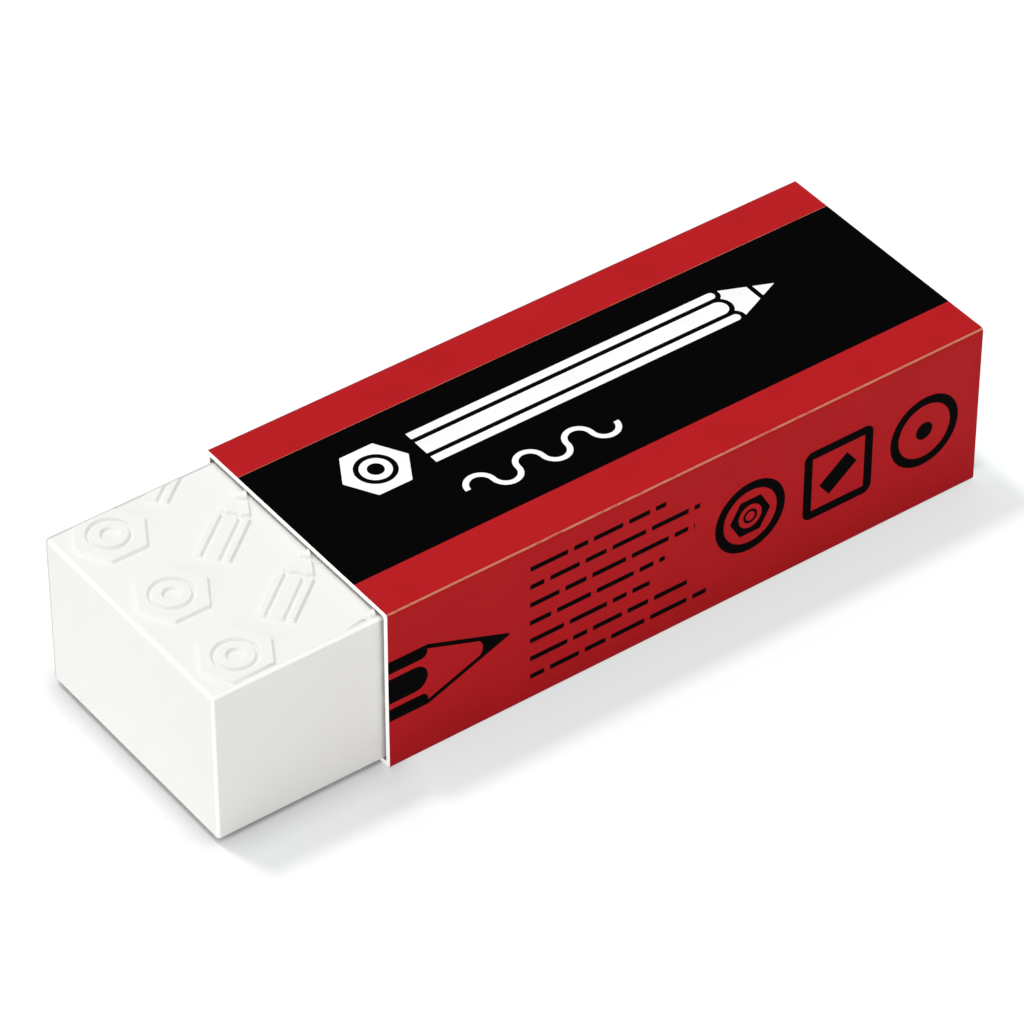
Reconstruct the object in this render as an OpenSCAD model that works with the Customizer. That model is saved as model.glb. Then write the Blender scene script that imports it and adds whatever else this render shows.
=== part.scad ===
// School eraser: a white vinyl block in a printed card sleeve that slides along it.
// The exposed end of the block points to -X. The sleeve's glued seam is on the +Y side.

/* [Block] */
// Length of the block
block_l = 65; // [56:0.5:90]
// Width of the block
block_w = 20.3; // [18:0.1:30]
// Height of the block below its relief
block_h = 12.8; // [12:0.1:20]
// Radius of the block's edges
block_edge_r = 0.3; // [0.2:0.05:1]

/* [Relief on the block] */
// Height of the raised figures above the top face
relief_h = 0.25; // [0.05:0.05:0.3]
// Distance between the figures along the block
relief_pitch = 7.2; // [6:0.1:12]
// Distance between the rows of figures across the block
relief_row = 7.6; // [6:0.1:12]
// Width across the flats of a raised pencil end
disc_w = 5; // [3:0.1:5.4]
// Length of a raised pencil
mini_l = 7.6; // [5:0.1:8]
// Width of a raised pencil
mini_w = 2.6; // [1.5:0.1:3]
// Turn of the raised pencils
mini_turn = 38; // [0:1:90]
// Width of the lines that part a raised figure
relief_line = 0.3; // [0.15:0.05:0.4]

/* [Sleeve] */
// Length of the sleeve
sleeve_l = 51.7; // [30:0.1:55]
// How far the sleeve reaches past the covered end of the block
end_lip = 0.3; // [0:0.1:2]
// Thickness of the card
card_t = 0.4; // [0.2:0.05:0.8]
// Inside radius of the folds
fold_r = 0.15; // [0.05:0.05:0.5]
// Outside radius of the folds, which are creased and pressed sharp
crease_r = 0.3; // [0.05:0.05:0.4]
// Gap between the block and the sleeve's front, where it shows at the mouth
front_gap = 0.3; // [0.05:0.05:0.6]
// Gap between the block and the lap behind it
back_gap = 0.1; // [0.05:0.05:0.6]
// Gap between the relief and the card above it
top_gap = 0.1; // [0.05:0.05:0.6]
// Height of the outer glue flap
flap_h = 9.5; // [4:0.5:11]
// Height of the inner lap's free edge above the sleeve's floor
lap_foot = 0.25; // [0.1:0.05:2]

/* [Print] */
// Depth of the ink in the card
ink_d = 0.05; // [0.02:0.01:0.1]
// Width of the coloured margin beside the black band
margin_w = 3.85; // [1:0.05:5]
// Distance from the sleeve's mouth to the middle of the emblem
emblem_x = 8.2; // [4:0.1:9]
// Width across the flats of the emblem
emblem_w = 4.8; // [3:0.1:6]
// Distance from the sleeve's mouth to the blunt end of the long pencil
long_x = 12; // [11.5:0.1:16]
// Length of the long pencil
long_l = 31; // [20:0.5:34]
// Width of the long pencil
long_w = 3.7; // [2:0.1:5]
// Distance of the emblem and the long pencil from the band's middle
figure_rise = 2.1; // [0:0.1:3]
// Radius of each turn of the wavy stroke
wave_r = 1.05; // [0.6:0.05:1.5]
// Number of turns of the wavy stroke
wave_n = 6; // [2:1:10]
// Width of the wavy stroke
wave_t = 0.45; // [0.2:0.05:0.8]
// Distance of the wavy stroke from the band's middle
wave_drop = 3.5; // [2:0.1:5]
// Length of the side's pencil from the sleeve's mouth to its point
side_l = 10.4; // [6:0.1:11]
// Width of the side's pencil
side_w = 5.4; // [3:0.1:7]
// Length of its cone, which is open
side_cone_l = 7.1; // [4:0.1:9]
// Width of the lines between its faces
side_line = 0.5; // [0.2:0.05:0.8]
// Width of the line round its cone
cone_line = 0.4; // [0.2:0.05:0.6]
// Width of the lines that part the printed figures
print_line = 0.4; // [0.2:0.05:0.6]
// Distance from the sleeve's mouth to the rows of dashes
dash_x = 11.9; // [11.5:0.1:14]
// Distance between the rows of dashes
dash_row = 1.63; // [1:0.01:1.7]
// Width of a dash
dash_t = 0.42; // [0.3:0.02:0.8]
// Gap between two dashes
dash_gap = 0.5; // [0.3:0.05:1]
// Distance from the sleeve's mouth to the first of the three marks
mark_x = 31; // [30:0.1:32]
// Distance between the marks
mark_pitch = 7.85; // [7:0.05:8]
// Width of each mark
mark_w = 6.2; // [4:0.1:6.8]
// Width of the lines that draw the marks
mark_t = 0.75; // [0.4:0.05:1]

/* [Hidden] */
$fn = 64;

// Lengths of the dashes of the longest row in turn, and the length of each row
dash_lengths = [3.2, 1.2, 2.5, 1.8, 2.9];
dash_rows = [11.6, 14.6, 14.2, 11.6, 10.3, 13.7, 15.5];

// Length of a closed cone as a share of its pencil's width, and of the lead as a share of a cone
cone_share = 1.15;
lead_share = 0.35;
// How far its cone runs back between the painted faces, as a share of its width
skirt_share = 0.25;
// Share of a pencil's width that its middle face takes, as on a six-sided barrel
face_share = 0.5;
// Shares of a pencil end's width: the ring round the core, and the lead
ring_share = 0.33;
lead_dot_share = 0.13;
// How deep a figure is rooted in what carries it
root = 0.3;

// The sleeve's section, seen from its mouth: y across, z up
inner_w = block_w + front_gap + back_gap;
inner_h = block_h + relief_h + top_gap;
outer_w = inner_w + 3 * card_t;
outer_h = inner_h + 2 * card_t;
bend_r = fold_r + card_t;
front_y = -outer_w / 2;
back_y = outer_w / 2;
lap_y = back_y - card_t;
top_w = lap_y - front_y;
top_y = (front_y + lap_y) / 2;
block_y = front_y + card_t + front_gap + block_w / 2;

total_l = block_l + end_lip;
block_x = -end_lip / 2;
mouth_x = total_l / 2 - sleeve_l;
band_w = top_w - 2 * margin_w;

// Helpers for sections and figures
module rounded_rect(l, w, r) {
    square([l - 2 * r, w], center = true);
    square([l, w - 2 * r], center = true);
    for (sx = [-1, 1], sy = [-1, 1])
        translate([sx * (l / 2 - r), sy * (w / 2 - r)]) circle(r);
}

// Puts a flat drawing of (y, z) upright and draws it out along +X
module along_x(l) {
    rotate([90, 0, 90]) linear_extrude(l) children();
}

// A painted face of a pencil, from x = 0 to its rounded end at x = l
module face_bar(l, w, grow = 0) {
    translate([0, -w / 2 - grow]) square([l - w / 2, w + 2 * grow]);
    translate([l - w / 2, 0]) circle(w / 2 + grow);
}

// The three faces of a six-sided pencil that show from the side
module faces(l, w, line, grow = 0) {
    middle_w = w * face_share - line;
    edge_w = (w * (1 - face_share) - line) / 2;
    face_bar(l, middle_w, grow);
    for (side = [-1, 1])
        translate([0, side * (w - edge_w) / 2]) face_bar(l, edge_w, grow);
}

// A sharpened pencil seen from the side, from x = 0 to its point at x = l
module pencil(l, w, line) {
    shoulder_x = l - w * cone_share;
    skirt_x = shoulder_x - w * skirt_share;
    lead_x = l - w * cone_share * lead_share;
    faces(shoulder_x, w, line);
    difference() {
        cone(skirt_x, shoulder_x, l, w);
        faces(shoulder_x, w, line, line);
        translate([lead_x - line, -w]) square([line, 2 * w]);
    }
}

// The same with an open cone, of which only the edge and the lead are filled
module open_pencil(l, w, cone_l, line, edge) {
    shoulder_x = l - cone_l;
    skirt_x = shoulder_x - w * skirt_share;
    lead_x = l - cone_l * lead_share;
    faces(shoulder_x, w, line);
    difference() {
        cone(skirt_x, shoulder_x, l, w);
        intersection() {
            cone(skirt_x, shoulder_x, l - edge * 2 * cone_l / w, w - 2 * edge);
            translate([skirt_x, -w]) square([lead_x - skirt_x, 2 * w]);
        }
    }
}

// The cone, with the skirt that runs back to skirt_x beside the painted faces
module cone(skirt_x, shoulder_x, l, w) {
    polygon([[skirt_x, -w / 2], [shoulder_x, -w / 2], [l, 0], [shoulder_x, w / 2], [skirt_x, w / 2]]);
}

// A six-sided pencil seen from its end
module pencil_end(w, line) {
    difference() {
        circle(d = w / cos(30), $fn = 6);
        circle(w * ring_share);
    }
    difference() {
        circle(w * ring_share - line);
        circle(w * lead_dot_share);
    }
}

// A stroke of half rings that turns up and down
module wave(r, n, t) {
    for (i = [0 : n - 1])
        translate([r * (2 * i + 1), 0]) intersection() {
            difference() {
                circle(r + t / 2);
                circle(r - t / 2);
            }
            translate([-2 * r, i % 2 == 0 ? 0 : -2 * r]) square([4 * r, 2 * r]);
        }
}

// Block
module relief_figures() {
    columns = ceil(block_l / relief_pitch / 2);
    rows = ceil(block_w / relief_row / 2);
    for (i = [-columns : columns], j = [-rows : rows])
        translate([i * relief_pitch, (j + (i % 2 == 0 ? 0 : 0.5)) * relief_row])
            if (i % 2 == 0)
                pencil_end(disc_w, relief_line);
            else
                rotate(mini_turn) translate([-mini_l / 2, 0]) pencil(mini_l, mini_w, relief_line);
}

module eraser_block() {
    color("whitesmoke") translate([block_x, block_y, card_t]) {
        intersection() {
            translate([-block_l / 2, 0, block_h / 2])
                along_x(block_l) rounded_rect(block_w, block_h, block_edge_r);
            translate([0, block_w / 2, block_h / 2])
                rotate([90, 0, 0]) linear_extrude(block_w) rounded_rect(block_l, block_h, block_edge_r);
            linear_extrude(block_h) rounded_rect(block_l, block_w, block_edge_r);
        }
        translate([0, 0, block_h - root]) linear_extrude(root + relief_h) intersection() {
            square([block_l - 2 * block_edge_r, block_w - 2 * block_edge_r], center = true);
            relief_figures();
        }
    }
}

// Sleeve
// A quarter of a fold round (y, z), towards the signs in turn
module fold(y, z, turn_y, turn_z) {
    translate([y, z]) intersection() {
        difference() {
            rounded_rect(2 * bend_r, 2 * bend_r, crease_r);
            circle(fold_r);
        }
        translate([turn_y > 0 ? 0 : -bend_r, turn_z > 0 ? 0 : -bend_r]) square(bend_r);
    }
}

// One strip of card: lap, top, front, floor and the flap that is glued over the lap
module card_section() {
    translate([lap_y - card_t, card_t + lap_foot])
        square([card_t, outer_h - bend_r - card_t - lap_foot]);
    fold(lap_y - bend_r, outer_h - bend_r, 1, 1);
    translate([front_y + bend_r, outer_h - card_t]) square([top_w - 2 * bend_r, card_t]);
    fold(front_y + bend_r, outer_h - bend_r, -1, 1);
    translate([front_y, bend_r]) square([card_t, outer_h - 2 * bend_r]);
    fold(front_y + bend_r, bend_r, -1, -1);
    translate([front_y + bend_r, 0]) square([outer_w - 2 * bend_r, card_t]);
    fold(back_y - bend_r, bend_r, 1, -1);
    translate([lap_y, bend_r]) square([card_t, flap_h - bend_r]);
}

module band() {
    translate([0, -band_w / 2]) square([sleeve_l, band_w]);
}

module band_figures() {
    intersection() {
        band();
        union() {
            translate([emblem_x, figure_rise]) pencil_end(emblem_w, print_line);
            translate([long_x, figure_rise]) pencil(long_l, long_w, print_line);
            translate([long_x, -wave_drop]) wave(wave_r, wave_n, wave_t);
        }
    }
}

// Where the dash of a row starts, counted from the row's first dash
function dash_start(row, i) =
    i == 0 ? 0 : dash_start(row, i - 1) + dash_lengths[(row + i - 1) % len(dash_lengths)] + dash_gap;

module dashes() {
    for (row = [0 : len(dash_rows) - 1], i = [0 : len(dash_lengths)])
        let (from = dash_start(row, i), l = dash_lengths[(row + i) % len(dash_lengths)])
            if (from < dash_rows[row])
                translate([from, -row * dash_row - dash_t / 2])
                    square([min(l, dash_rows[row] - from), dash_t]);
}

// Three plain marks: a pencil end in a ring, an eraser in a frame and a dot in a ring
module marks() {
    mark_r = mark_w / 2;
    difference() {
        circle(mark_r);
        circle(mark_r - mark_t);
    }
    pencil_end(mark_r, print_line);
    translate([mark_pitch, 0]) {
        difference() {
            rounded_rect(mark_w, mark_w, mark_t);
            square(mark_w - 2 * mark_t, center = true);
        }
        rotate(mini_turn) square([mark_r, mark_t * 2], center = true);
    }
    translate([2 * mark_pitch, 0]) {
        difference() {
            circle(mark_r);
            circle(mark_r - mark_t);
        }
        circle(mark_t);
    }
}

module side_figures() {
    intersection() {
        translate([0, bend_r]) square([sleeve_l, outer_h - 2 * bend_r]);
        union() {
            translate([-side_w, outer_h / 2])
                open_pencil(side_l + side_w, side_w, side_cone_l, side_line, cone_line);
            translate([dash_x, outer_h / 2 + (len(dash_rows) - 1) / 2 * dash_row]) dashes();
            translate([mark_x, outer_h / 2]) marks();
        }
    }
}

// Each of these sinks a flat drawing into one panel of the sleeve
module into_top(d) {
    translate([mouth_x, top_y, outer_h - ink_d]) linear_extrude(d) children();
}

module into_floor(d) {
    translate([mouth_x, 0, ink_d]) mirror([0, 0, 1]) linear_extrude(d) mirror([0, 1]) children();
}

module into_front(d) {
    translate([mouth_x, front_y + ink_d, 0]) rotate([90, 0, 0]) linear_extrude(d) children();
}

module card_sleeve() {
    color("firebrick") difference() {
        translate([mouth_x, 0, 0]) along_x(sleeve_l) card_section();
        into_top(2 * ink_d) band();
        into_floor(2 * ink_d) band();
        into_front(2 * ink_d) side_figures();
    }
    color("black") {
        into_top(ink_d) difference() {
            band();
            band_figures();
        }
        into_floor(ink_d) difference() {
            band();
            band_figures();
        }
        into_front(ink_d) side_figures();
    }
    color("white") {
        into_top(ink_d) band_figures();
        into_floor(ink_d) band_figures();
    }
}

eraser_block();
card_sleeve();
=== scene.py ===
"""A school eraser: a white vinyl block with raised figures, in a folded card sleeve printed red and black."""

import math

import bpy
import numpy as np
from mathutils import Matrix, Vector
from mathutils.geometry import delaunay_2d_cdt


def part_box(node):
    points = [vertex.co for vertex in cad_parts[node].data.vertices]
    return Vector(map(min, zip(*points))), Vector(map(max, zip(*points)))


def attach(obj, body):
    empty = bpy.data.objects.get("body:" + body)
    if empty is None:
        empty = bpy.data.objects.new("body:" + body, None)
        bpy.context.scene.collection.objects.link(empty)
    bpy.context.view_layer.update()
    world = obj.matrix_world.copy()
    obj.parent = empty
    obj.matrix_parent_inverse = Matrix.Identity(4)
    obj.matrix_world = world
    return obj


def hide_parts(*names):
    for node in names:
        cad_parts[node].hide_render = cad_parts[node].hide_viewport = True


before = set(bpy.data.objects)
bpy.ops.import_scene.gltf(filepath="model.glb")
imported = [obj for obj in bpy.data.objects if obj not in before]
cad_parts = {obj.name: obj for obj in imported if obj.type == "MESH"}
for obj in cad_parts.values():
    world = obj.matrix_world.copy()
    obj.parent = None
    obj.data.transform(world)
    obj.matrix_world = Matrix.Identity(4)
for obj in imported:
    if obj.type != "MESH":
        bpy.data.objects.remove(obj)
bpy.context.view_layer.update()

MM = 0.001

# Sizes that part.scad names too, in millimetres
EDGE_R = 0.3
RELIEF_H = 0.25
RELIEF_PITCH = 7.2
RELIEF_ROW = 7.6
DISC_W = 5.0
MINI_L, MINI_W, MINI_TURN = 7.6, 2.6, 38
RELIEF_LINE = 0.3
CARD_T = 0.4
FOLD_R = 0.15
CREASE_R = 0.3
FLAP_H = 9.5
LAP_FOOT = 0.25
MARGIN_W = 3.85
EMBLEM_X, EMBLEM_W = 8.2, 4.8
LONG_X, LONG_L, LONG_W = 12.0, 31.0, 3.7
FIGURE_RISE = 2.1
WAVE_R, WAVE_N, WAVE_T, WAVE_DROP = 1.05, 6, 0.45, 3.5
SIDE_L, SIDE_W, SIDE_CONE_L, SIDE_LINE, CONE_LINE = 10.4, 5.4, 7.1, 0.5, 0.4
PRINT_LINE = 0.4
DASH_X, DASH_ROW, DASH_T, DASH_GAP = 11.9, 1.63, 0.42, 0.5
DASH_LENGTHS = [3.2, 1.2, 2.5, 1.8, 2.9]
DASH_ROWS = [11.6, 14.6, 14.2, 11.6, 10.3, 13.7, 15.5]
MARK_X, MARK_PITCH, MARK_W, MARK_T = 31.0, 7.85, 6.2, 0.75
CONE_SHARE, LEAD_SHARE, SKIRT_SHARE, FACE_SHARE = 1.15, 0.35, 0.25, 0.5
RING_SHARE, LEAD_DOT_SHARE = 0.33, 0.13
LEAD_HOLLOW, TIP_CUT = 0.17, 0.25

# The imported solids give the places
BLOCK_LO, BLOCK_HI = (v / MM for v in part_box("eraser_block"))
SLEEVE_LO, SLEEVE_HI = (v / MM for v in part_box("card_sleeve"))
BLOCK_TOP = BLOCK_HI.z - RELIEF_H
MOUTH_X = SLEEVE_LO.x
SLEEVE_L = SLEEVE_HI.x - SLEEVE_LO.x
SLEEVE_W = SLEEVE_HI.y - SLEEVE_LO.y
SLEEVE_H = SLEEVE_HI.z
FRONT_Y, BACK_Y = SLEEVE_LO.y, SLEEVE_HI.y
LAP_Y = BACK_Y - CARD_T
TOP_W = LAP_Y - FRONT_Y
BEND_R = FOLD_R + CARD_T
BAND_W = TOP_W - 2 * MARGIN_W


# Flat figures. Each is a function of x and y that gives the distance to its outline, below 0 inside.
def join(*shapes):
    return np.minimum.reduce(shapes)


def meet(*shapes):
    return np.maximum.reduce(shapes)


def disc(x, y, r):
    return np.hypot(x, y) - r


def ring(x, y, r, t):
    """A ring t wide whose outer radius is r."""
    return abs(np.hypot(x, y) - (r - t / 2)) - t / 2


def plate(x, y, x0, x1, w):
    """A rectangle from x0 to x1 that is w wide about y = 0."""
    return meet(x0 - x, x - x1, abs(y) - w / 2)


def rounded_square(x, y, w, r):
    dx, dy = abs(x) - (w / 2 - r), abs(y) - (w / 2 - r)
    return np.hypot(np.maximum(dx, 0), np.maximum(dy, 0)) + np.minimum(np.maximum(dx, dy), 0) - r


def tapered(x, y, x0, x1, tip, w):
    """A flat-backed dart from x0, full width to x1, with its point at tip."""
    slope = math.hypot(tip - x1, w / 2)
    point = ((x - x1) * w / 2 + (abs(y) - w / 2) * (tip - x1)) / slope
    return meet(x0 - x, abs(y) - w / 2, point)


def face_bar(x, y, length, w, grow=0.0):
    """One long face of a six-sided pencil, round where the sharpened cone begins."""
    middle_x = length - w / 2
    return join(plate(x, y, 0, middle_x, w + 2 * grow), disc(x - middle_x, y, w / 2 + grow))


def faces(x, y, length, w, line, grow=0.0):
    """The three long faces that show from one side, a line of bare ground between them."""
    middle_w = w * FACE_SHARE - line
    edge_w = (w * (1 - FACE_SHARE) - line) / 2
    edge_y = (w - edge_w) / 2
    return join(face_bar(x, y, length, middle_w, grow), face_bar(x, abs(y) - edge_y, length, edge_w, grow))


def pencil(x, y, length, w, line):
    """A sharpened pencil from x = 0 to its point at x = length."""
    shoulder_x = length - w * CONE_SHARE
    lead_x = length - w * CONE_SHARE * LEAD_SHARE
    cone = tapered(x, y, shoulder_x - w * SKIRT_SHARE, shoulder_x, length, w)
    cut = join(faces(x, y, shoulder_x, w, line, line), abs(x - (lead_x - line / 2)) - line / 2)
    return join(faces(x, y, shoulder_x, w, line), meet(cone, -cut))


def open_pencil(x, y, length, w, cone_l, line, edge):
    """The same with an open cone, of which only the edge and the lead are filled."""
    shoulder_x, lead_x = length - cone_l, length - cone_l * LEAD_SHARE
    skirt_x = shoulder_x - w * SKIRT_SHARE
    cone = tapered(x, y, skirt_x, shoulder_x, length, w)
    bare = tapered(x, y, skirt_x, shoulder_x, length - edge * 2 * cone_l / w, w - 2 * edge)
    # The lead's back edge is hollow, as the sharpener leaves it
    hollow = LEAD_HOLLOW * w
    wood = meet(bare, join(x - (lead_x - hollow), disc(x - (lead_x - hollow), y, hollow)))
    return join(faces(x, y, shoulder_x, w, line), meet(cone, -wood, disc(x - (length - TIP_CUT - w), y, w)))


def pencil_end(x, y, w, line):
    """A six-sided pencil seen from its end."""
    slant = math.radians(30)
    sides = meet(abs(y), abs(x * math.cos(slant) + y * math.sin(slant)),
                 abs(x * math.cos(slant) - y * math.sin(slant))) - w / 2
    core = w * RING_SHARE
    barrel = meet(sides, -disc(x, y, core))
    return join(barrel, meet(disc(x, y, core - line), -disc(x, y, w * LEAD_DOT_SHARE)))


def wave(x, y, r, n, t):
    """A line t wide that swings up and down in n half rings."""
    turns = []
    for i in range(n):
        up = 1 if i % 2 == 0 else -1
        turns.append(meet(ring(x - r * (2 * i + 1), y, r + t / 2, t), -up * y))
    return join(*turns)


def dashes(x, y):
    """Rows of dashes, each row starting one further on in the list of lengths."""
    bars = []
    for row, row_l in enumerate(DASH_ROWS):
        start, i = 0.0, 0
        while start < row_l:
            dash_l = DASH_LENGTHS[(row + i) % len(DASH_LENGTHS)]
            bars.append(plate(x, y + row * DASH_ROW, start, min(start + dash_l, row_l), DASH_T))
            start, i = start + dash_l + DASH_GAP, i + 1
    return join(*bars)


def marks(x, y):
    """A pencil end in a ring, an eraser in a frame and a dot in a ring."""
    r = MARK_W / 2
    turn = math.radians(MINI_TURN)
    second, third = x - MARK_PITCH, x - 2 * MARK_PITCH
    along = second * math.cos(turn) + y * math.sin(turn)
    across = y * math.cos(turn) - second * math.sin(turn)
    square = meet(rounded_square(second, y, MARK_W, MARK_T), -(meet(abs(second), abs(y)) - (r - MARK_T)))
    return join(ring(x, y, r, MARK_T), pencil_end(x, y, r, PRINT_LINE), square,
                plate(along, across, -r / 2, r / 2, MARK_T * 2), ring(third, y, r, MARK_T), disc(third, y, MARK_T))


def band_figures(x, y):
    """The white print on the black band: x from the sleeve's mouth, y across."""
    return join(pencil_end(x - EMBLEM_X, y - FIGURE_RISE, EMBLEM_W, PRINT_LINE),
                pencil(x - LONG_X, y - FIGURE_RISE, LONG_L, LONG_W, PRINT_LINE),
                wave(x - LONG_X, y + WAVE_DROP, WAVE_R, WAVE_N, WAVE_T))


def side_figures(x, z):
    """The black print on the front side: x from the sleeve's mouth, z up."""
    middle = SLEEVE_H / 2
    top_row = middle + (len(DASH_ROWS) - 1) / 2 * DASH_ROW
    return join(open_pencil(x + SIDE_W, z - middle, SIDE_L + SIDE_W, SIDE_W, SIDE_CONE_L, SIDE_LINE, CONE_LINE),
                dashes(x - DASH_X, z - top_row), marks(x - MARK_X, z - middle))


# Outlines of figures
LATTICE_STEP = 0.045
LINE_SLACK = 0.006
NO_FIGURE = 1.0
FIGURE_REACH = 0.6


class Field:
    """Distances to a figure's outline over a rectangle, kept on a fine lattice."""

    def __init__(self, x0, x1, y0, y1):
        self.nx, self.ny = round((x1 - x0) / LATTICE_STEP) + 1, round((y1 - y0) / LATTICE_STEP) + 1
        self.x, self.y = np.linspace(x0, x1, self.nx), np.linspace(y0, y1, self.ny)
        self.dx, self.dy = self.x[1] - self.x[0], self.y[1] - self.y[0]
        self.d = np.full((self.nx, self.ny), NO_FIGURE)

    def add(self, shape, cx=None, cy=None, reach=None):
        """Adds a figure; where reach is given, only that far round (cx, cy)."""
        i0, i1, j0, j1 = 0, self.nx, 0, self.ny
        if reach:
            i0, i1 = np.searchsorted(self.x, [cx - reach, cx + reach])
            j0, j1 = np.searchsorted(self.y, [cy - reach, cy + reach])
        if i0 < i1 and j0 < j1:
            gx, gy = np.meshgrid(self.x[i0:i1], self.y[j0:j1], indexing="ij")
            self.d[i0:i1, j0:j1] = np.minimum(self.d[i0:i1, j0:j1], shape(gx, gy))

    def soften(self, times):
        """Rounds the corners of the figures a little."""
        for _ in range(times):
            p = np.pad(self.d, 1, mode="edge")
            self.d = sum(p[1 + a:1 + a + self.nx, 1 + b:1 + b + self.ny] for a in (-1, 0, 1) for b in (-1, 0, 1)) / 9

    def at(self, x, y):
        """The distance and its slopes at points given as arrays."""
        u = np.clip((x - self.x[0]) / self.dx, 0, self.nx - 1.001)
        v = np.clip((y - self.y[0]) / self.dy, 0, self.ny - 1.001)
        i, j = u.astype(int), v.astype(int)
        s, t = u - i, v - j
        a, b, c, e = self.d[i, j], self.d[i + 1, j], self.d[i, j + 1], self.d[i + 1, j + 1]
        value = a * (1 - s) * (1 - t) + b * s * (1 - t) + c * (1 - s) * t + e * s * t
        return value, ((b - a) * (1 - t) + (e - c) * t) / self.dx, ((c - a) * (1 - s) + (e - b) * s) / self.dy

    def lines(self, level):
        """The lines on which the distance is level, thinned out to within the slack."""
        f = self.d - level
        f[f == 0] = 1e-9
        inside = f < 0
        corners = inside[:-1, :-1].astype(int) + inside[1:, :-1] + inside[:-1, 1:] + inside[1:, 1:]
        links = {}
        for i, j in zip(*(k.tolist() for k in np.nonzero((corners > 0) & (corners < 4)))):
            ends = []
            if inside[i, j] != inside[i + 1, j]:
                ends.append((i, j, 0))
            if inside[i + 1, j] != inside[i + 1, j + 1]:
                ends.append((i + 1, j, 1))
            if inside[i, j + 1] != inside[i + 1, j + 1]:
                ends.append((i, j + 1, 0))
            if inside[i, j] != inside[i, j + 1]:
                ends.append((i, j, 1))
            for a, b in zip(ends[::2], ends[1::2]):
                links.setdefault(a, []).append(b)
                links.setdefault(b, []).append(a)
        found = []
        for start in sorted(links, key=lambda k: (len(links[k]), k)):
            if start not in links:
                continue
            chain, here = [start], start
            while here in links:
                onward = [k for k in links.pop(here) if k in links]
                if not onward:
                    break
                here = onward[0]
                chain.append(here)
            points = np.array([self.crossing(f, *k) for k in chain])
            # A line whose two ends are neighbours goes all round its figure
            if np.abs(points[0] - points[-1]).max() < 2.1 * self.dx and len(chain) > 3:
                points = np.vstack([points, points[:1]])
            if len(points) > 2:
                found.append(thinned(points))
        return found

    def crossing(self, f, i, j, axis):
        """Where f is 0 between a point of the lattice and the next one along the axis."""
        k = (i, j + 1) if axis else (i + 1, j)
        t = f[i, j] / (f[i, j] - f[k])
        return (self.x[i] + (0 if axis else t * self.dx), self.y[j] + (t * self.dy if axis else 0))


def thinned(points):
    """Leaves out the points that the line passes closely enough anyway."""
    if np.abs(points[0] - points[-1]).max() < 1e-9:
        far = int(np.argmax(np.hypot(*(points - points[0]).T)))
        return np.vstack([thinned(points[:far + 1])[:-1], thinned(points[far:])])
    kept, spans = {0, len(points) - 1}, [(0, len(points) - 1)]
    while spans:
        a, b = spans.pop()
        if b - a < 2:
            continue
        run = points[b] - points[a]
        off = points[a + 1:b] - points[a]
        away = abs(off[:, 0] * run[1] - off[:, 1] * run[0]) / max(np.hypot(*run), 1e-9)
        worst = int(np.argmax(away))
        if away[worst] > LINE_SLACK:
            kept.add(a + 1 + worst)
            spans += [(a, a + 1 + worst), (a + 1 + worst, b)]
    return points[sorted(kept)]


def stops(lo, hi, spacing):
    """Even stops from lo to hi, no further apart than spacing."""
    return np.linspace(lo, hi, max(1, math.ceil((hi - lo) / spacing - 1e-6)) + 1)


def flat_mesh(lines, spots):
    """Triangles over a flat drawing, with every one of its lines kept as edges."""
    coords, edges = [], []
    for line in lines:
        first = len(coords)
        coords += [Vector((float(x), float(y))) for x, y in line]
        edges += [(k, k + 1) for k in range(first, len(coords) - 1)]
    coords += [Vector((float(x), float(y))) for x, y in spots]
    verts, _, tris, *_ = delaunay_2d_cdt(coords, edges, [], 0, 1e-5)
    return np.array([tuple(v) for v in verts]), [tuple(t) for t in tris]


def piece(name, verts, polys, slots, materials, normals=None):
    """A mesh object from points in millimetres."""
    mesh = bpy.data.meshes.new(name)
    mesh.from_pydata([tuple(float(c) * MM for c in v) for v in verts], [], polys)
    for material in materials:
        mesh.materials.append(material)
    mesh.polygons.foreach_set("material_index", slots)
    mesh.polygons.foreach_set("use_smooth", [True] * len(polys))
    mesh.validate()
    if normals is not None:
        mesh.normals_split_custom_set_from_vertices([tuple(map(float, n)) for n in normals])
    obj = bpy.data.objects.new(name, mesh)
    bpy.context.scene.collection.objects.link(obj)
    return obj


# Materials
class Signal:
    """A shader value that Python's own operators work on."""

    def __init__(self, tree, socket):
        self.tree, self.socket = tree, socket

    def math(self, operation, *others, swap=False):
        terms = [*others, self] if swap else [self, *others]
        return self.tree.node("ShaderNodeMath", {"operation": operation}, dict(enumerate(terms)))

    def __add__(self, other): return self.math("ADD", other)
    def __radd__(self, other): return self.math("ADD", other)
    def __sub__(self, other): return self.math("SUBTRACT", other)
    def __rsub__(self, other): return self.math("SUBTRACT", other, swap=True)
    def __mul__(self, other): return self.math("MULTIPLY", other)
    def __rmul__(self, other): return self.math("MULTIPLY", other)


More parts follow.
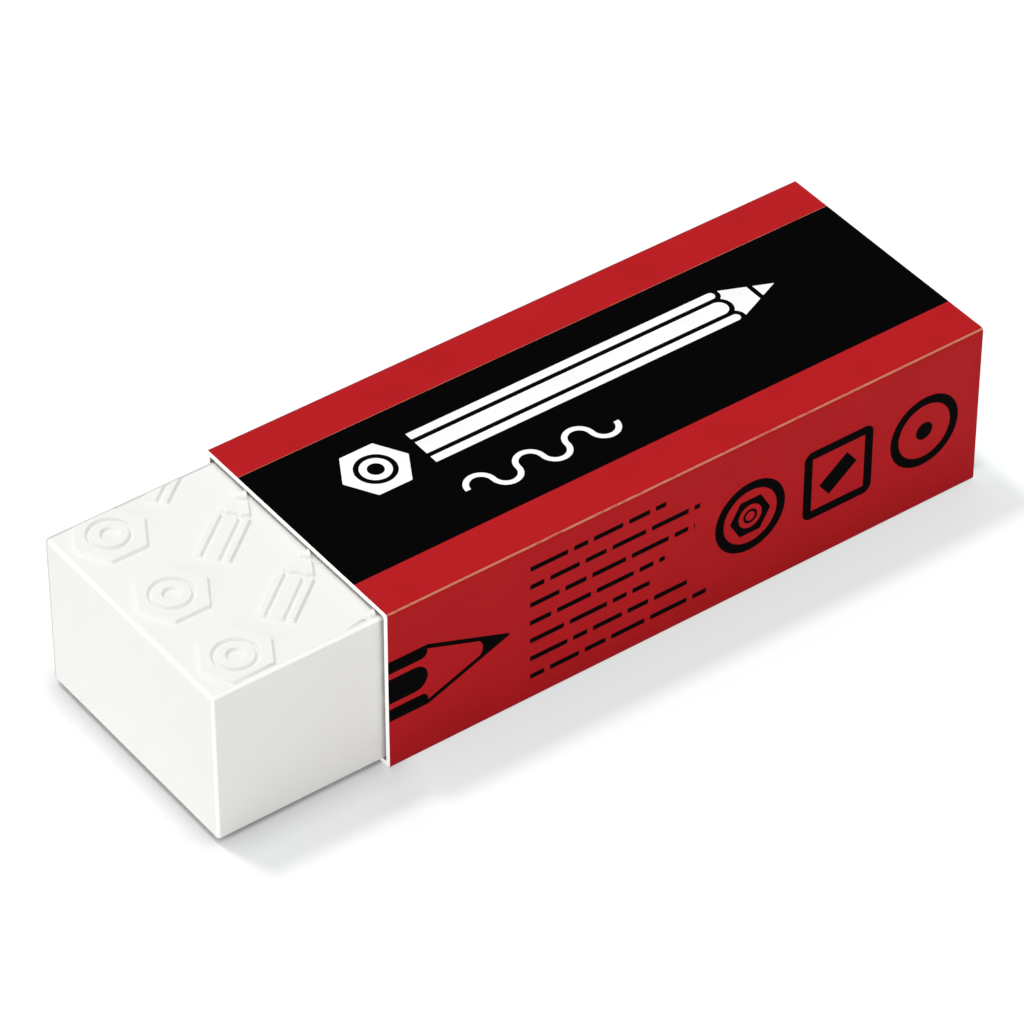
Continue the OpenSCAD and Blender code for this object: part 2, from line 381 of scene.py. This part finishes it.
class Finish:
    """A material whose nodes are added one call at a time."""

    def __init__(self, name):
        self.material = bpy.data.materials.new(name)
        self.material.use_nodes = True
        self.nodes, self.links = self.material.node_tree.nodes, self.material.node_tree.links
        self.shader = self.nodes["Principled BSDF"]
        self.place = self.node("ShaderNodeTexCoord", output="Object")

    def node(self, kind, settings=None, inputs=None, output=0):
        made = self.nodes.new(kind)
        for key, value in (settings or {}).items():
            setattr(made, key, value)
        self.feed(made, inputs or {})
        return Signal(self, made.outputs[output])

    def feed(self, node, inputs):
        for key, value in inputs.items():
            if isinstance(value, Signal):
                self.links.new(value.socket, node.inputs[key])
            else:
                node.inputs[key].default_value = value

    def noise(self, scale, detail=2.0, stretch=None):
        """Noise from 0 to 1 whose lumps are about 1/scale metres across."""
        place = self.place
        if stretch:
            place = self.node("ShaderNodeVectorMath", {"operation": "MULTIPLY"}, {0: place, 1: stretch})
        return self.node("ShaderNodeTexNoise", {}, {"Vector": place, "Scale": scale, "Detail": detail})

    def between(self, signal, low, high):
        """The signal drawn out so that low becomes 0 and high becomes 1."""
        return self.node("ShaderNodeMapRange", {"clamp": True}, {"Value": signal, "From Min": low, "From Max": high})

    def mix(self, factor, first, second):
        """The first colour where factor is 0 and the second where it is 1; sockets 6 and 7 take colours."""
        return self.node("ShaderNodeMix", {"data_type": "RGBA"},
                         {"Factor": factor, 6: rgba(first), 7: rgba(second)}, output=2)

    def split(self, vector):
        return [self.node("ShaderNodeSeparateXYZ", {}, {0: vector}, output=k) for k in range(3)]

    def near_edges(self, lo, hi, full, width):
        """1 within full of the edges of the box from lo to hi, 0 further in than width."""
        centre = [(a + b) / 2 for a, b in zip(lo, hi)]
        off = self.node("ShaderNodeVectorMath", {"operation": "SUBTRACT"}, {0: self.place, 1: centre})
        off = self.node("ShaderNodeVectorMath", {"operation": "ABSOLUTE"}, {0: off})
        near = [self.between(part, (b - a) / 2 - width, (b - a) / 2 - full)
                for part, a, b in zip(self.split(off), lo, hi)]
        pairs = [near[a].math("MINIMUM", near[b]) for a, b in ((0, 1), (1, 2), (0, 2))]
        return pairs[0].math("MAXIMUM", pairs[1]).math("MAXIMUM", pairs[2])

    def bump(self, height, distance):
        return self.node("ShaderNodeBump", {}, {"Height": height, "Distance": distance, "Strength": 1.0})

    def set(self, **inputs):
        self.feed(self.shader, {key.replace("_", " "): value for key, value in inputs.items()})
        return self.material


def rgba(colour):
    return colour if isinstance(colour, Signal) else (*colour, 1.0)


def shade(colour, share):
    return tuple(c * share for c in colour)


# Colours, and how far in millimetres some of them reach
RED = (0.467, 0.0092, 0.0132)
BLACK = (0.0010, 0.0007, 0.0007)
PRINT_WHITE = (0.96, 0.96, 0.955)
WORN = (0.62, 0.205, 0.125)
CARD = (0.50, 0.485, 0.46)
VINYL = (0.892, 0.889, 0.865)
# Painted highlight on the block's edges, and painted shade on its back edges
VINYL_EDGE_HIGHLIGHT = (1.0, 0.998, 0.975)
EDGE_GLOW = (0.1, 0.1, 0.098)
BACK_EDGE_SHADE = (0.60, 0.60, 0.58)
HIGHLIGHT_FULL_W, HIGHLIGHT_W = 0.1, 0.25
BACK_FADE_IN, BACK_FADE_OUT = 0.1, 0.05
SPECK = (0.55, 0.54, 0.52)
# Painted shade, partly a rub mark: the grey line on the block at the sleeve's mouth
RUB_MARK_AND_SHADE = (0.40, 0.38, 0.32)
RUB_SHADE_X, RUB_SHADE_W = MOUTH_X + 0.12, 0.32
CUT_CARD = (0.98, 0.975, 0.96)
# Painted light: the cut edges glow faintly so that they read white
CUT_GLOW = 0.14


def printed(name, ink, roughness, level):
    """Offset ink on coated card: even colour, a trace of fibre and a low sheen."""
    f = Finish(name)
    cloud = f.noise(260, 3)
    grain = f.noise(5200, 2)
    colour = f.mix(f.between(cloud, 0.3, 0.7), shade(ink, 0.965), shade(ink, 1.035))
    colour = f.mix(f.between(grain, 0.62, 0.8) * 0.10, colour, shade(ink, 1.25))
    fibres = f.noise(1500, 4, (1.0, 2.2, 2.2)) * 0.7 + grain * 0.3
    f.set(Base_Color=colour, Roughness=roughness + grain * 0.06, Normal=f.bump(fibres, 0.000006),
          Specular_IOR_Level=level)
    return f.material


def worn_fold(name):
    """Where the card is creased its ink cracks and the fibres show tan."""
    f = Finish(name)
    along = f.noise(420, 4, (1.0, 0.4, 0.4))
    crumbs = f.noise(6000, 3, (0.5, 1.0, 1.0))
    bare = f.between(along * 0.55 + crumbs * 0.45, 0.30, 0.48)
    colour = f.mix(bare, shade(RED, 1.05), f.mix(crumbs, shade(WORN, 0.85), shade(WORN, 1.2)))
    f.set(Base_Color=colour, Roughness=0.62 + crumbs * 0.2, Normal=f.bump(crumbs, 0.00001), Specular_IOR_Level=0.3)
    return f.material


def raw_card(name, card, glow=0.0):
    """Uncoated board: the sleeve's inside and its cut edges."""
    f = Finish(name)
    fibres = f.noise(2600, 4, (1.0, 2.6, 2.6))
    flecks = f.noise(900, 5)
    colour = f.mix(f.between(fibres, 0.3, 0.72), shade(card, 0.94), shade(card, 1.04))
    colour = f.mix(f.between(flecks, 0.66, 0.78) * 0.3, colour, shade(card, 0.7))
    # glow is painted light, given to the cut edges
    f.set(Base_Color=colour, Roughness=0.85, Normal=f.bump(fibres, 0.00002), Specular_IOR_Level=0.25,
          Emission_Color=rgba((glow,) * 3), Emission_Strength=1.0)
    return f.material


def vinyl(name):
    """Soft white vinyl: matt, faintly cloudy, with the finest moulding grain."""
    f = Finish(name)
    cloud = f.noise(170, 3)
    grain = f.noise(3800, 3)
    colour = f.mix(f.between(cloud, 0.25, 0.75), shade(VINYL, 0.985), VINYL)
    specks = f.between(f.noise(1400, 2), 0.74, 0.8)
    colour = f.mix(specks * 0.12, colour, SPECK)
    # A faint, uneven grey line on the block at the sleeve's mouth: partly a rub mark from the card's edge, partly
    # painted shade that deepens the shadow of the gap there
    x, y, z = f.split(f.place)
    rub_mark_and_shade = f.between((x - RUB_SHADE_X * MM).math("ABSOLUTE"), RUB_SHADE_W * MM, 0.0)
    on_top = f.between(z, (BLOCK_TOP - EDGE_R) * MM, BLOCK_TOP * MM)
    rub_shade_strength = f.between(f.noise(600, 3), 0.35, 0.65) * 0.3 + 0.27
    colour = f.mix(rub_mark_and_shade * rub_shade_strength * (1 - on_top * 0.8), colour, RUB_MARK_AND_SHADE)
    # Painted highlight: the edges are paler than the faces, apart from those round the back, which are painted grey
    # as shade
    top = Vector((BLOCK_HI.x, BLOCK_HI.y, BLOCK_TOP))
    edge = f.near_edges(BLOCK_LO * MM, top * MM, HIGHLIGHT_FULL_W * MM, HIGHLIGHT_W * MM)
    colour = f.mix(edge, colour, VINYL_EDGE_HIGHLIGHT)
    # Painted shade: a grey outline along the block's back edges
    back_edge_shade = f.between(y, (BLOCK_HI.y - EDGE_R - BACK_FADE_IN) * MM, (BLOCK_HI.y - EDGE_R) * MM)
    back_edge_shade = back_edge_shade * f.between(y, BLOCK_HI.y * MM, (BLOCK_HI.y - BACK_FADE_OUT) * MM)
    colour = f.mix(back_edge_shade, colour, BACK_EDGE_SHADE)
    # Light that enters beside an upper edge leaves through its other face, which a faint glow stands in for
    lit = edge * f.between(z, (BLOCK_LO.z + EDGE_R) * MM, (BLOCK_LO.z + 4 * EDGE_R) * MM) * (1 - back_edge_shade)
    f.set(Base_Color=colour, Roughness=0.5 + grain * 0.1, Normal=f.bump(grain * 0.6 + cloud * 0.4, 0.000008),
          Specular_IOR_Level=0.35, Emission_Color=f.mix(lit, (0, 0, 0), EDGE_GLOW), Emission_Strength=1.0)
    return f.material


# The block
ARC_STEPS = 4
BLOCK_STEP = 1.0
RELIEF_CLEAR = 0.3
BORDER_GAP = 0.02
# Distances from a figure's outline at which its soft wall has a line of points, from its foot to its top
BEVEL = (0.1, 0.05, -0.01, -0.07, -0.12)


def relief(d):
    """Height share of a raised figure's soft wall at distance d, and its slope."""
    foot, top = BEVEL[0], BEVEL[-1]
    s = np.clip((foot - d) / (foot - top), 0, 1)
    return s * s * (3 - 2 * s), 6 * s * (1 - s) / (foot - top)


def relief_field(x0, x1, y0, y1):
    """Columns of pencil ends and pencils by turns, cut off at the edges of the block's flat top."""
    middle_x, middle_y = (x0 + x1) / 2, (y0 + y1) / 2
    field = Field(x0, x1, y0, y1)
    columns = math.ceil((x1 - x0) / RELIEF_PITCH / 2)
    rows = math.ceil((y1 - y0) / RELIEF_ROW / 2)
    c, s = math.cos(math.radians(MINI_TURN)), math.sin(math.radians(MINI_TURN))
    for i in range(-columns, columns + 1):
        for j in range(-rows, rows + 1):
            cx = middle_x + i * RELIEF_PITCH
            cy = middle_y + (j + (i % 2) / 2) * RELIEF_ROW

            def shape(x, y, cx=cx, cy=cy, turned=i % 2):
                x, y = x - cx, y - cy
                if turned:
                    return pencil(x * c + y * s + MINI_L / 2, y * c - x * s, MINI_L, MINI_W, RELIEF_LINE)
                return pencil_end(x, y, DISC_W, RELIEF_LINE)

            field.add(shape, cx, cy, MINI_L / 2 + FIGURE_REACH)
    field.soften(2)
    gx, gy = np.meshgrid(field.x, field.y, indexing="ij")
    border = meet(x0 - gx, gx - x1, y0 - gy, gy - y1)
    field.d = np.maximum(field.d, border + BEVEL[0] + BORDER_GAP)
    return field


def box_stops(lo, hi):
    """The stops along x, y and z: close ones for the rounded edges, even ones between them."""
    turns = [math.radians(45 * (1 - k / ARC_STEPS)) for k in range(ARC_STEPS)]
    arc = np.array([EDGE_R * (1 - math.tan(turn)) for turn in turns])
    return [np.concatenate([a + arc, stops(a + EDGE_R, b - EDGE_R, BLOCK_STEP), (b - arc)[::-1]])
            for a, b in zip(lo, hi)]


def rounded_box(lo, hi, axes):
    """A box with rounded edges and an open top; also returns each point's number by its place in the axes."""
    ends = [len(a) - 1 for a in axes]
    index, verts, normals, polys = {}, [], [], []

    def corner(key):
        if key not in index:
            index[key] = len(verts)
            p = np.array([axes[a][key[a]] for a in range(3)])
            core = np.clip(p, lo + EDGE_R, hi - EDGE_R)
            away = (p - core) / np.linalg.norm(p - core)
            normals.append(away)
            verts.append(core + away * EDGE_R)
        return index[key]

    for a in range(3):
        b, c = (a + 1) % 3, (a + 2) % 3
        for side in (0, ends[a]):
            for i in range(ends[b]):
                for j in range(ends[c]):
                    on_flat = all(ARC_STEPS <= k < n - ARC_STEPS for k, n in ((i, ends[b]), (j, ends[c])))
                    if a == 2 and side and on_flat:
                        continue
                    keys = []
                    for di, dj in ((0, 0), (1, 0), (1, 1), (0, 1)):
                        key = [0, 0, 0]
                        key[a], key[b], key[c] = side, i + di, j + dj
                        keys.append(tuple(key))
                    quad = [corner(k) for k in keys]
                    polys.append(tuple(quad if side else quad[::-1]))
    return index, verts, normals, polys


def add_relief(xs, ys, rim, verts, normals):
    """The flat top with its raised figures, which shares the rim's points; returns its faces."""
    field = relief_field(xs[0], xs[-1], ys[0], ys[-1])
    lines = [[(x, y) for x in xs] for y in (ys[0], ys[-1])] + [[(x, y) for y in ys] for x in (xs[0], xs[-1])]
    for level in BEVEL:
        lines += field.lines(level)
    gx, gy = (g.ravel() for g in np.meshgrid(xs[1:-1], ys[1:-1], indexing="ij"))
    clear = abs(field.at(gx, gy)[0]) > RELIEF_CLEAR
    flat, tris = flat_mesh(lines, zip(gx[clear], gy[clear]))
    d, slope_x, slope_y = field.at(flat[:, 0], flat[:, 1])
    height, fall = relief(d)
    number = []
    for (x, y), h, f, sx, sy in zip(flat, height, fall, slope_x, slope_y):
        at = rim.get((round(x, 4), round(y, 4)))
        if at is None:
            at = len(verts)
            verts.append(np.array((x, y, BLOCK_TOP + RELIEF_H * h)))
            n = np.array((RELIEF_H * f * sx, RELIEF_H * f * sy, 1.0))
            normals.append(n / np.linalg.norm(n))
        number.append(at)
    return [tuple(number[k] for k in t) for t in tris]


def block_mesh():
    """A box with rounded edges whose flat top carries the relief."""
    lo, hi = np.array(BLOCK_LO), np.array((BLOCK_HI.x, BLOCK_HI.y, BLOCK_TOP))
    axes = box_stops(lo, hi)
    index, verts, normals, polys = rounded_box(lo, hi, axes)
    xs, ys = (a[ARC_STEPS:len(a) - ARC_STEPS] for a in axes[:2])
    rim = {tuple(np.round(verts[at][:2], 4)): at for key, at in index.items()
           if key[2] == len(axes[2]) - 1
           and any(key[a] in (ARC_STEPS, len(axes[a]) - 1 - ARC_STEPS) for a in (0, 1))}
    polys += add_relief(xs, ys, rim, verts, normals)
    return verts, polys, normals


def make_block():
    verts, polys, normals = block_mesh()
    block = piece("vinyl_block", verts, polys, [0] * len(polys), [vinyl("white vinyl")], normals)
    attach(block, "block")
    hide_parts("eraser_block")


# The sleeve: one printed blank, scored, folded and glued
# Across the blank q runs over the outer flap, floor, front, top and the lap that is glued under the flap
CORNERS = [(BACK_Y, FLAP_H), (BACK_Y, 0.0), (FRONT_Y, 0.0), (FRONT_Y, SLEEVE_H), (LAP_Y, SLEEVE_H),
           (LAP_Y, CARD_T + LAP_FOOT)]
PANELS = [math.dist(a, b) for a, b in zip(CORNERS, CORNERS[1:])]
FOLDS = np.cumsum(PANELS)[:-1]
BLANK_W = sum(PANELS)
FLOOR_Q, FRONT_Q, TOP_Q, LAP_Q = FOLDS
FLOOR_MIDDLE = FLOOR_Q + SLEEVE_W / 2
TOP_MIDDLE = TOP_Q + TOP_W / 2
SEAM_Q = LAP_Q + SLEEVE_H - FLAP_H
CUT_R = 0.03
GLUE_GAP = 0.02
BOW, BOW_AT_ENDS = 0.035, 0.5
WEAR_W = {TOP_Q: 0.1, FRONT_Q: 0.05, FLOOR_Q: 0.04}
# Width of the painted shade along the lap's fold: a darker red that stands for the shaded outline of the sleeve's
# back top edge
FOLD_SHADE_W = 0.22
MISFIT_W = 0.03
BLEED_W = 1.4
BLANK_STEP = 1.6
PRINT_CLEAR = 0.25
FOLD_STOPS = [0.0, 0.05, 0.1, 0.15, 0.2, 0.25, CREASE_R, BEND_R]
SHARP_TURN = 38
RED_PRINT, BLACK_PRINT, WHITE_PRINT, WORN_FOLD, SHADED_FOLD, RAW_CARD, CUT_EDGE = range(7)


def folded(x, q, depth):
    """Where a point of the blank ends up, depth below its printed face."""
    k = min(int(np.searchsorted(FOLDS, q)), len(PANELS) - 1)
    a, b = Vector(CORNERS[k]), Vector(CORNERS[k + 1])
    run = (b - a).normalized()
    out = Vector((-run.y, run.x))
    s = q - (FOLDS[k - 1] if k else 0.0)
    face = a + run * s
    back = face - out * CARD_T
    near = int(np.argmin(abs(FOLDS - q)))
    off = q - FOLDS[near]
    if abs(off) < BEND_R:
        c = Vector(CORNERS[near + 1])
        before = (c - Vector(CORNERS[near])).normalized()
        after = (Vector(CORNERS[near + 2]) - c).normalized()

        def arc(radius, zone, pivot):
            turn = (off + zone) / (2 * zone) * math.pi / 2
            return pivot - after * radius * math.cos(turn) + before * radius * math.sin(turn)

        back = arc(FOLD_R, BEND_R, c - before * BEND_R + after * BEND_R)
        if abs(off) < CREASE_R:
            face = arc(CREASE_R, CREASE_R, c - before * CREASE_R + after * CREASE_R)
    point = face.lerp(back, depth / CARD_T)
    # The panels sink a hair between their folds, and the lap leaves room for the glue
    if k in (1, 2, 3):
        share = 1 - (1 - BOW_AT_ENDS) * abs(2 * x / SLEEVE_L - 1) ** 3
        point -= out * BOW * math.sin(math.pi * min(max(s / PANELS[k], 0), 1)) * share
    elif k == 4:
        point -= out * GLUE_GAP * min(1.0, max(s, 0) / (2 * BEND_R))
    return (MOUTH_X + x, point.x, point.y)


def blank_rows():
    """The q of each line that runs the blank's whole length: its edges, folds, worn lines, the painted shade along
    the lap's fold, and bands.
    """
    rows = [f + s * z for f in FOLDS for z in FOLD_STOPS for s in ((1, -1) if z else (1,))]
    rows += [f + s * w for f, w in (*WEAR_W.items(), (LAP_Q, FOLD_SHADE_W)) for s in (1, -1)]
    rows += [m + s * BAND_W / 2 for m in (FLOOR_MIDDLE, TOP_MIDDLE) for s in (1, -1)]
    rows += [TOP_MIDDLE + BAND_W / 2 + MISFIT_W, SEAM_Q + BLEED_W, CUT_R, BLANK_W - CUT_R]
    return sorted(set(rows))


def blank_prints(x0, x1):
    """The bands' white figures and the front's black ones, each with the q at which its own y or z is 0."""
    band, front = Field(x0, x1, -BAND_W / 2, BAND_W / 2), Field(x0, x1, BEND_R, SLEEVE_H - BEND_R)
    band.add(band_figures)
    front.add(side_figures)
    return (band, TOP_MIDDLE), (band, FLOOR_MIDDLE), (front, FRONT_Q)


def print_distance(prints, x, q):
    """Distances to the white figures of the bands and the black ones of the front."""
    found = []
    for field, origin in prints:
        on = (q - origin > field.y[0]) & (q - origin < field.y[-1])
        found.append(np.full(len(x), NO_FIGURE))
        found[-1][on] = field.at(x[on], q[on] - origin)[0]
    return join(*found[:2]), found[2]


def blank_finishes(prints, x, q):
    """The number of the finish at each point of the blank's printed face."""
    white, black = print_distance(prints, x, q)
    in_band = (abs(q - TOP_MIDDLE) < BAND_W / 2) | (abs(q - FLOOR_MIDDLE) < BAND_W / 2)
    finish = np.full(len(x), RED_PRINT)
    finish[in_band | (black < 0)] = BLACK_PRINT
    finish[white < 0] = WHITE_PRINT
    for f, w in WEAR_W.items():
        finish[abs(q - f) < w] = WORN_FOLD
    # Painted shade: a darker red along the lap's fold
    finish[abs(q - LAP_Q) < FOLD_SHADE_W] = SHADED_FOLD
    # Where the black and the red miss each other by a hair, the bare card shows
    finish[(q > TOP_MIDDLE + BAND_W / 2) & (q < TOP_MIDDLE + BAND_W / 2 + MISFIT_W)] = WORN_FOLD
    finish[q > SEAM_Q + BLEED_W] = RAW_CARD
    return finish


def add_cut_edge(flat, tris, verts, polys, slots):
    """Closes the gap between the blank's two faces all round, with both arrises a little broken."""
    (x0, q0), (x1, q1) = flat.min(0), flat.max(0)
    sides = dict.fromkeys((a, b) for t in tris for a, b in zip(t, t[1:] + t[:1]))
    rim = {}

    def cut_points(k):
        if k not in rim:
            x, q = flat[k]
            x += CUT_R * (int(x > x1 - 1e-4) - int(x < x0 + 1e-4))
            q += CUT_R * (int(q > q1 - 1e-4) - int(q < q0 + 1e-4))
            rim[k] = (len(verts), len(verts) + 1)
            verts.append(folded(x, q, CUT_R))
            verts.append(folded(x, q, CARD_T - CUT_R))
        return k, *rim[k], k + len(flat)

    for a, b in sides:
        if (b, a) not in sides:
            rail_a, rail_b = cut_points(a), cut_points(b)
            for s in range(3):
                polys.append((rail_b[s], rail_a[s], rail_a[s + 1], rail_b[s + 1]))
                slots.append(CUT_EDGE)


def sleeve_mesh():
    """The blank's two faces and its cut edges; returns points, faces and a finish number for each face."""
    x0, x1 = CUT_R, SLEEVE_L - CUT_R
    xs, rows = stops(x0, x1, BLANK_STEP), blank_rows()
    lines = [[(x, q) for x in xs] for q in rows]
    end_stops = sorted(set(rows) | {q for a, b in zip(rows, rows[1:]) for q in stops(a, b, BLANK_STEP)})
    lines += [[(x, q) for q in end_stops] for x in (x0, x1)]
    prints = blank_prints(x0, x1)
    for field, origin in prints:
        lines += [[(x, origin + v) for x, v in line] for line in field.lines(0.0)]

    # Loose points keep the panels' triangles small, so that their bow stays smooth
    qs = np.array([q for a, b in zip(rows, rows[1:]) if b - a > 2 for q in stops(a, b, BLANK_STEP)[1:-1]])
    gx, gq = (g.ravel() for g in np.meshgrid(xs[1:-1], qs, indexing="ij"))
    clear = join(*(abs(d) for d in print_distance(prints, gx, gq))) > PRINT_CLEAR
    flat, tris = flat_mesh(lines, zip(gx[clear], gq[clear]))

    centre = flat[np.array(tris)].mean(1)
    slots = blank_finishes(prints, centre[:, 0], centre[:, 1]).tolist() + [RAW_CARD] * len(tris)
    verts = [folded(x, q, depth) for depth in (0.0, CARD_T) for x, q in flat]
    polys = [tuple(t) for t in tris] + [tuple(k + len(flat) for k in reversed(t)) for t in tris]
    add_cut_edge(flat, tris, verts, polys, slots)
    return verts, polys, slots


def make_sleeve():
    verts, polys, slots = sleeve_mesh()
    materials = {RED_PRINT: printed("red print", RED, roughness=0.5, level=0.05),
                 BLACK_PRINT: printed("black print", BLACK, roughness=0.5, level=0.012),
                 WHITE_PRINT: printed("white print", PRINT_WHITE, roughness=0.5, level=0.1),
                 WORN_FOLD: worn_fold("worn fold"),
                 # The shaded fold is painted shade, a darker copy of the red
                 SHADED_FOLD: printed("shaded fold", shade(RED, 0.6), roughness=0.6, level=0.05),
                 RAW_CARD: raw_card("raw card", CARD),
                 CUT_EDGE: raw_card("cut edge", CUT_CARD, CUT_GLOW)}
    sleeve = piece("printed_sleeve", verts, polys, slots, [materials[k] for k in sorted(materials)])
    sleeve.data.set_sharp_from_angle(angle=math.radians(SHARP_TURN))
    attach(sleeve, "sleeve")
    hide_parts("card_sleeve")


# Floor, light and camera
# The camera sees a floor that is part glow, so that it reads white and keeps a light shadow
FLOOR_W = 6
FLOOR_COLOUR = (0.97, 0.97, 0.97)
SEEN_COLOUR = (0.5, 0.495, 0.495)
GLOW = (0.54, 0.56, 0.56)
GLOW_BY_END = (0.50, 0.51, 0.51)
GLOW_BY_BLOCK = (0.30, 0.31, 0.31)
GLOW_BY_SLEEVE = (0.45, 0.56, 0.56)
CONTACT_W, BOUNCE_W = 2.6, 14
CONTACT_SHADE = 0.6


def make_floor():
    bpy.ops.mesh.primitive_plane_add(size=FLOOR_W)
    floor = bpy.context.object
    floor.name = "studio_floor"
    f = Finish("studio floor")
    camera, mirror = (f.node("ShaderNodeLightPath", output=k) for k in ("Is Camera Ray", "Is Glossy Ray"))
    shown = camera.math("MAXIMUM", mirror)
    near, wide = (f.node("ShaderNodeAmbientOcclusion", {"samples": 4}, {"Distance": w * MM}, output="AO")
                  for w in (CONTACT_W, BOUNCE_W))
    open_sky = f.between(near, 0.0, 1.0)
    x, y, _ = f.split(f.place)
    beside_sleeve = f.between(x, (MOUTH_X - 1) * MM, (MOUTH_X + 2) * MM)
    in_front = f.between(y, (BLOCK_LO.y + EDGE_R) * MM, BLOCK_LO.y * MM)
    # In the cast shadow the contact shadow fades: to half of it in front of the block, to nothing by the sleeve
    open_sky = open_sky + in_front * (beside_sleeve * 0.5 + 0.5) * (1 - open_sky)
    seen = f.mix(open_sky, shade(SEEN_COLOUR, CONTACT_SHADE), SEEN_COLOUR)
    # Close by, the glow is less by what the white and red sides throw onto the floor, so the shadow stays grey
    by_block = f.mix(in_front, GLOW_BY_END, GLOW_BY_BLOCK)
    glow = f.mix(1 - wide, GLOW, f.mix(beside_sleeve, by_block, GLOW_BY_SLEEVE))
    f.set(Base_Color=f.mix(shown, FLOOR_COLOUR, seen), Roughness=1.0, Specular_IOR_Level=0.0,
          Emission_Color=f.mix(shown * open_sky, (0, 0, 0), glow), Emission_Strength=1.0)
    floor.data.materials.append(f.material)


def make_world(strength):
    world = bpy.data.worlds.new("studio")
    bpy.context.scene.world = world
    world.use_nodes = True
    nodes, links = world.node_tree.nodes, world.node_tree.links
    sky = nodes["Background"]
    sky.inputs["Color"].default_value = (1, 1, 1, 1)
    sky.inputs["Strength"].default_value = strength
    white = nodes.new("ShaderNodeBackground")
    white.inputs["Color"].default_value = (1, 1, 1, 1)
    path, choice = nodes.new("ShaderNodeLightPath"), nodes.new("ShaderNodeMixShader")
    links.new(path.outputs["Is Camera Ray"], choice.inputs[0])
    links.new(sky.outputs[0], choice.inputs[1])
    links.new(white.outputs[0], choice.inputs[2])
    links.new(choice.outputs[0], nodes["World Output"].inputs["Surface"])


def make_lamp(name, direction, distance, size, power):
    data = bpy.data.lights.new(name, "AREA")
    data.shape, data.size, data.energy = "DISK", size, power
    lamp = bpy.data.objects.new(name, data)
    toward = Vector(direction).normalized()
    lamp.matrix_world = Matrix.Translation(toward * distance) @ toward.to_track_quat("Z", "Y").to_matrix().to_4x4()
    bpy.context.scene.collection.objects.link(lamp)


def make_camera(azimuth, elevation, distance, shift_right, shift_up, lens):
    """A camera round the origin; the two shifts move it in its own plane, in millimetres."""
    a, e = math.radians(azimuth), math.radians(elevation)
    back = Vector((math.sin(a) * math.cos(e), -math.cos(a) * math.cos(e), math.sin(e)))
    right = Vector((math.cos(a), math.sin(a), 0))
    up = back.cross(right)
    data = bpy.data.cameras.new("camera")
    data.lens, data.sensor_width = lens, 36
    data.clip_start, data.clip_end = 0.01, 20
    camera = bpy.data.objects.new("camera", data)
    place = (back * distance + right * shift_right + up * shift_up) * MM
    camera.matrix_world = Matrix.Translation(place) @ Matrix((right, up, back)).transposed().to_4x4()
    bpy.context.scene.collection.objects.link(camera)
    bpy.context.scene.camera = camera


make_block()
make_sleeve()
make_floor()
make_world(strength=0.55)
make_lamp("key", direction=(-0.12, 0.35, 1.0), distance=1.2, size=0.15, power=6.5)
make_lamp("fill", direction=(-1.0, -0.444, 0.229), distance=1.2, size=0.8, power=3.9)
make_camera(azimuth=-36.336, elevation=40.504, distance=402.771, shift_right=-0.526, shift_up=4.459, lens=200)
bpy.context.scene.view_settings.view_transform = "Standard"
